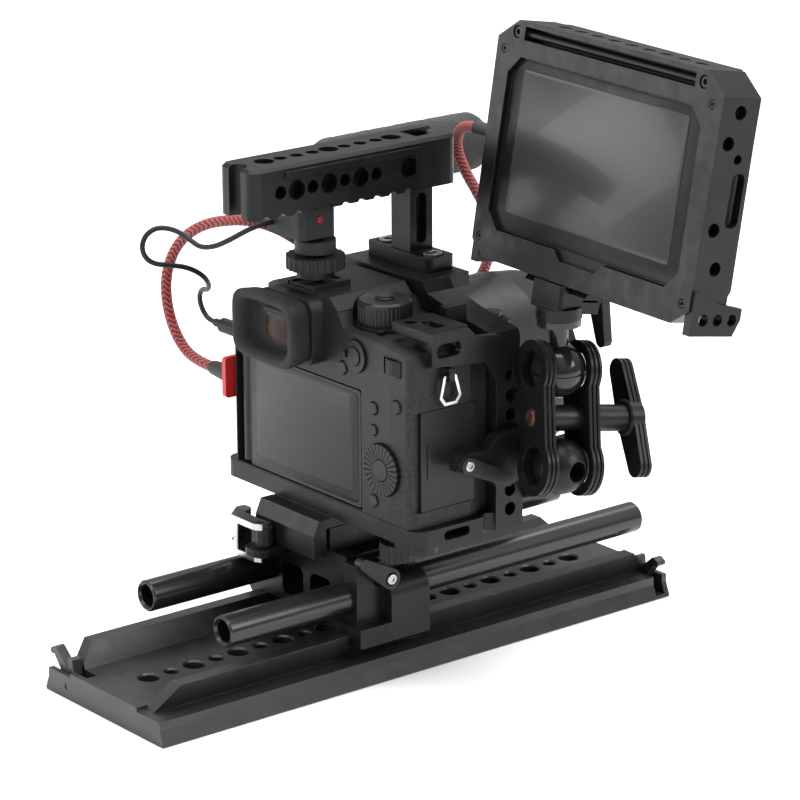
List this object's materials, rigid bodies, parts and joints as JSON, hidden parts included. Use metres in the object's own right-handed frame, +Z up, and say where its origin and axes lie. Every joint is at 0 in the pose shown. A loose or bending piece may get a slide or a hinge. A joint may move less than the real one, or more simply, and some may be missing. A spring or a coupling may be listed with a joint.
{
  "type": "cinema camera rig",
  "caption": "Caged camera on a rod bridge that slides on a long dovetail plate, with a top handle, a shotgun microphone and a monitor on a ball arm.",
  "frame": {"origin": "centre of the dovetail plate's underside", "axes": "+Z up, -Y the way the lens looks, +Y towards the operator, -X the camera's grip side"},
  "size_m": [0.3056, 0.3048, 0.302],
  "materials": {
    "black_anodised": "fine satin black anodising",
    "black_lever": "satin black",
    "chromed": "polished",
    "steel": "turned",
    "ball_steel": "polished black",
    "camera_shell": "fine texture",
    "camera_controls": "smooth satin",
    "battery_case": "moulded",
    "eyecup_rubber": "soft matte",
    "lens_metal": "satin black",
    "ribbed_rubber": "ribbed",
    "hood_plastic": "satin",
    "mic_plastic": "fine texture",
    "foam": "open foam",
    "braid": "red and black braid",
    "wire": "smooth",
    "plug_plastic": "moulded",
    "red_plug": "moulded",
    "monitor_plastic": "fine texture"
  },
  "bodies": {
    "base": {"dovetail_plate": "black_anodised"},
    "rear_stop": {"rear_stop": "black_anodised"},
    "front_stop": {"front_stop": "black_anodised"},
    "bridge": {"bridge_base": "black_anodised", "qr_clamp": "black_anodised"},
    "jaw": {"dovetail_jaw": "black_anodised"},
    "clamp_lever": {"clamp_lever": "black_lever"},
    "near_rod": {"near_rod": "black_anodised"},
    "far_rod": {"far_rod": "black_anodised"},
    "cam": {"qr_cam": "black_lever", "qr_cam_lever": "chromed"},
    "qr_jaw": {"qr_jaw": "black_anodised"},
    "carriage": {"qr_plate": "black_anodised", "cage": "black_anodised", "cage_screws": "steel", "handle_post": "black_anodised", "handle_bar": "black_anodised", "camera_body": "camera_shell", "battery": "battery_case", "eyecup": "eyecup_rubber", "lens_barrel": "lens_metal", "mic_body": "mic_plastic", "windshield": "foam", "camera_plug": "red_plug", "mic_plug": "plug_plastic", "mic_cable": "wire", "hdmi_cable": "braid", "side_clamp": "black_anodised"},
    "thumb_knob": {"thumb_knob": "black_anodised"},
    "strap_ring": {"strap_ring": "chromed"},
    "control_wheel": {"control_wheel": "camera_controls"},
    "set_button": {"set_button": "camera_controls"},
    "af_lever": {"af_lever": "camera_shell"},
    "af_button": {"af_button": "camera_controls"},
    "thumb_wheel": {"thumb_wheel": "camera_controls"},
    "mode_dial": {"mode_dial": "camera_controls"},
    "power_lever": {"power_lever": "camera_shell"},
    "drive_dial": {"drive_dial": "camera_controls"},
    "shutter_button": {"shutter_button": "camera_controls"},
    "sd_door": {"sd_door": "camera_shell"},
    "lcd": {"lcd_panel": "camera_shell"},
    "zoom_ring": {"zoom_ring": "ribbed_rubber"},
    "lens_front": {"lens_front": "lens_metal"},
    "lens_hood": {"lens_hood": "hood_plastic"},
    "mic_lock_ring": {"mic_lock_ring": "mic_plastic"},
    "side_clamp_lever": {"side_clamp_lever": "black_lever"},
    "disp_button": {"disp_button": "camera_controls"},
    "cursor_button": {"cursor_button": "camera_controls"},
    "fn_button": {"fn_button": "camera_controls"},
    "menu_button": {"menu_button": "camera_controls"},
    "lock_button": {"lock_button": "camera_controls"},
    "arm": {"arm_plates": "black_anodised", "arm_bolt": "steel"},
    "wing_nut": {"wing_nut": "black_anodised"},
    "head": {"ball_head": "ball_steel"},
    "mount": {"monitor_mount": "black_anodised"},
    "mount_lever": {"mount_lever": "black_lever"},
    "monitor": {"monitor_cage": "black_anodised", "monitor_body": "monitor_plastic", "monitor_plug": "red_plug"}
  },
  "joints": [
    {"name": "rear_stop_turn", "type": "hinge", "parent": "base", "child": "rear_stop", "pos_m": [0.03, 0.147, 0.006], "axis": [0, 1, 0], "range_deg": [0, 35], "stiffness_Nm_per_rad": 0.02},
    {"name": "front_stop_turn", "type": "hinge", "parent": "base", "child": "front_stop", "pos_m": [-0.03, -0.147, 0.006], "axis": [0, -1, 0], "range_deg": [0, 35], "stiffness_Nm_per_rad": 0.02},
    {"name": "bridge_slide", "type": "slide", "parent": "base", "child": "bridge", "axis": [0, 1, 0], "range_m": [-0.14, 0.107]},
    {"name": "jaw_slide", "type": "slide", "parent": "bridge", "child": "jaw", "axis": [-1, 0, 0], "range_m": [0, 0.0015]},
    {"name": "clamp_turn", "type": "hinge", "parent": "jaw", "child": "clamp_lever", "pos_m": [-0.042, 0.0224, 0.05], "axis": [-1, 0, 0], "range_deg": [0, 75]},
    {"name": "near_rod_slide", "type": "slide", "parent": "bridge", "child": "near_rod", "axis": [0, 1, 0], "range_m": [-0.065, 0.135]},
    {"name": "far_rod_slide", "type": "slide", "parent": "bridge", "child": "far_rod", "axis": [0, 1, 0], "range_m": [-0.065, 0.135]},
    {"name": "cam_turn", "type": "hinge", "parent": "bridge", "child": "cam", "pos_m": [0.012, 0.0536, 0.06], "axis": [0, 0, 1], "range_deg": [0, 150]},
    {"name": "qr_jaw_slide", "type": "slide", "parent": "bridge", "child": "qr_jaw", "axis": [0, 1, 0], "range_m": [0, 0.0025]},
    {"name": "carriage_slide", "type": "slide", "parent": "bridge", "child": "carriage", "axis": [1, 0, 0], "range_m": [-0.025, 0.025]},
    {"name": "thumb_turn", "type": "hinge", "parent": "carriage", "child": "thumb_knob", "pos_m": [-0.058, 0.028, 0.07], "axis": [0, 0, 1], "continuous": true},
    {"name": "strap_swing", "type": "hinge", "parent": "carriage", "child": "strap_ring", "pos_m": [-0.08185, 0.0165, 0.15485], "axis": [0, 1, 0], "range_deg": [0, 60]},
    {"name": "wheel_turn", "type": "hinge", "parent": "carriage", "child": "control_wheel", "pos_m": [-0.0584, 0.036, 0.109], "axis": [0, 1, 0], "continuous": true},
    {"name": "set_press", "type": "slide", "parent": "carriage", "child": "set_button", "axis": [0, -1, 0], "range_m": [0, 0.0006], "stiffness_N_per_m": 400},
    {"name": "af_turn", "type": "hinge", "parent": "carriage", "child": "af_lever", "pos_m": [-0.0395, 0.036, 0.1584], "axis": [0, 1, 0], "range_deg": [0, 40]},
    {"name": "af_press", "type": "slide", "parent": "carriage", "child": "af_button", "axis": [0, -1, 0], "range_m": [0, 0.0005], "stiffness_N_per_m": 400},
    {"name": "thumb_wheel_turn", "type": "hinge", "parent": "carriage", "child": "thumb_wheel", "pos_m": [-0.066, 0.0283, 0.159], "axis": [0, 0, 1], "continuous": true},
    {"name": "mode_turn", "type": "hinge", "parent": "carriage", "child": "mode_dial", "pos_m": [-0.036, 0.0165, 0.175], "axis": [0, 0, 1], "continuous": true},
    {"name": "power_turn", "type": "hinge", "parent": "carriage", "child": "power_lever", "pos_m": [-0.036, 0.0165, 0.168], "axis": [0, 0, 1], "range_deg": [0, 40]},
    {"name": "drive_turn", "type": "hinge", "parent": "carriage", "child": "drive_dial", "pos_m": [0.0385, 0.015, 0.17], "axis": [0, 0, 1], "continuous": true},
    {"name": "shutter_press", "type": "slide", "parent": "carriage", "child": "shutter_button", "axis": [0, 0, -1], "range_m": [0, 0.0012], "stiffness_N_per_m": 400},
    {"name": "sd_slide", "type": "slide", "parent": "carriage", "child": "sd_door", "axis": [0, 1, 0], "range_m": [0, 0.0025]},
    {"name": "lcd_swing", "type": "hinge", "parent": "carriage", "child": "lcd", "pos_m": [0.047, 0.0315, 0.114], "axis": [0, 0, -1], "range_deg": [0, 100]},
    {"name": "zoom_turn", "type": "hinge", "parent": "carriage", "child": "zoom_ring", "pos_m": [0, -0.06, 0.124], "axis": [0, 1, 0], "range_deg": [0, 70]},
    {"name": "lens_extend", "type": "slide", "parent": "carriage", "child": "lens_front", "axis": [0, -1, 0], "range_m": [0, 0.018]},
    {"name": "hood_turn", "type": "hinge", "parent": "lens_front", "child": "lens_hood", "pos_m": [0, -0.09, 0.124], "axis": [0, 1, 0], "range_deg": [0, 45]},
    {"name": "mic_ring_turn", "type": "hinge", "parent": "carriage", "child": "mic_lock_ring", "pos_m": [0, 0.0285, 0.196], "axis": [0, 0, 1], "continuous": true},
    {"name": "side_lever_turn", "type": "hinge", "parent": "carriage", "child": "side_clamp_lever", "pos_m": [-0.092, 0.0135, 0.1145], "axis": [1, 0, 0], "range_deg": [0, 90]},
    {"name": "arm_swing", "type": "hinge", "parent": "carriage", "child": "arm", "pos_m": [-0.10941, -0.02593, 0.11066], "axis": [-0.1804, -0.972, -0.1503], "range_deg": [0, 40], "deforming": ["hdmi_cable"]},
    {"name": "wing_turn", "type": "hinge", "parent": "arm", "child": "wing_nut", "pos_m": [-0.1035, -0.0302, 0.1312], "axis": [-0.1804, -0.972, -0.1503], "continuous": true},
    {"name": "head_swing", "type": "hinge", "parent": "arm", "child": "head", "pos_m": [-0.09759, -0.03447, 0.15174], "axis": [-0.1804, -0.972, -0.1503], "range_deg": [0, 25]},
    {"name": "mount_pan", "type": "hinge", "parent": "head", "child": "mount", "pos_m": [-0.09759, -0.03447, 0.15174], "axis": [0, 0, -1], "range_deg": [0, 60]},
    {"name": "monitor_slide", "type": "slide", "parent": "mount", "child": "monitor", "axis": [0.9984, -0.0558, 0], "range_m": [-0.008, 0.008]},
    {"name": "mount_lever_turn", "type": "hinge", "parent": "mount", "child": "mount_lever", "pos_m": [-0.09759, -0.05647, 0.1815], "axis": [0, 1, 0], "range_deg": [0, 70]},
    {"name": "disp_press", "type": "slide", "parent": "carriage", "child": "disp_button", "axis": [0, -1, 0], "range_m": [0, 0.0006], "stiffness_N_per_m": 400},
    {"name": "cursor_press", "type": "slide", "parent": "carriage", "child": "cursor_button", "axis": [0, -1, 0], "range_m": [0, 0.0006], "stiffness_N_per_m": 400},
    {"name": "fn_press", "type": "slide", "parent": "carriage", "child": "fn_button", "axis": [0, -1, 0], "range_m": [0, 0.0006], "stiffness_N_per_m": 400},
    {"name": "menu_press", "type": "slide", "parent": "carriage", "child": "menu_button", "axis": [0, -1, 0], "range_m": [0, 0.0006], "stiffness_N_per_m": 400},
    {"name": "lock_press", "type": "slide", "parent": "carriage", "child": "lock_button", "axis": [0, -1, 0], "range_m": [0, 0.0006], "stiffness_N_per_m": 400}
  ],
  "couplings": [
    {"joint": "clamp_turn", "follows": "jaw_slide", "rad_per_m": 872},
    {"joint": "cam_turn", "follows": "qr_jaw_slide", "rad_per_m": 1046},
    {"joint": "lens_extend", "follows": "zoom_turn", "m_per_rad": 0.0147}
  ]
}
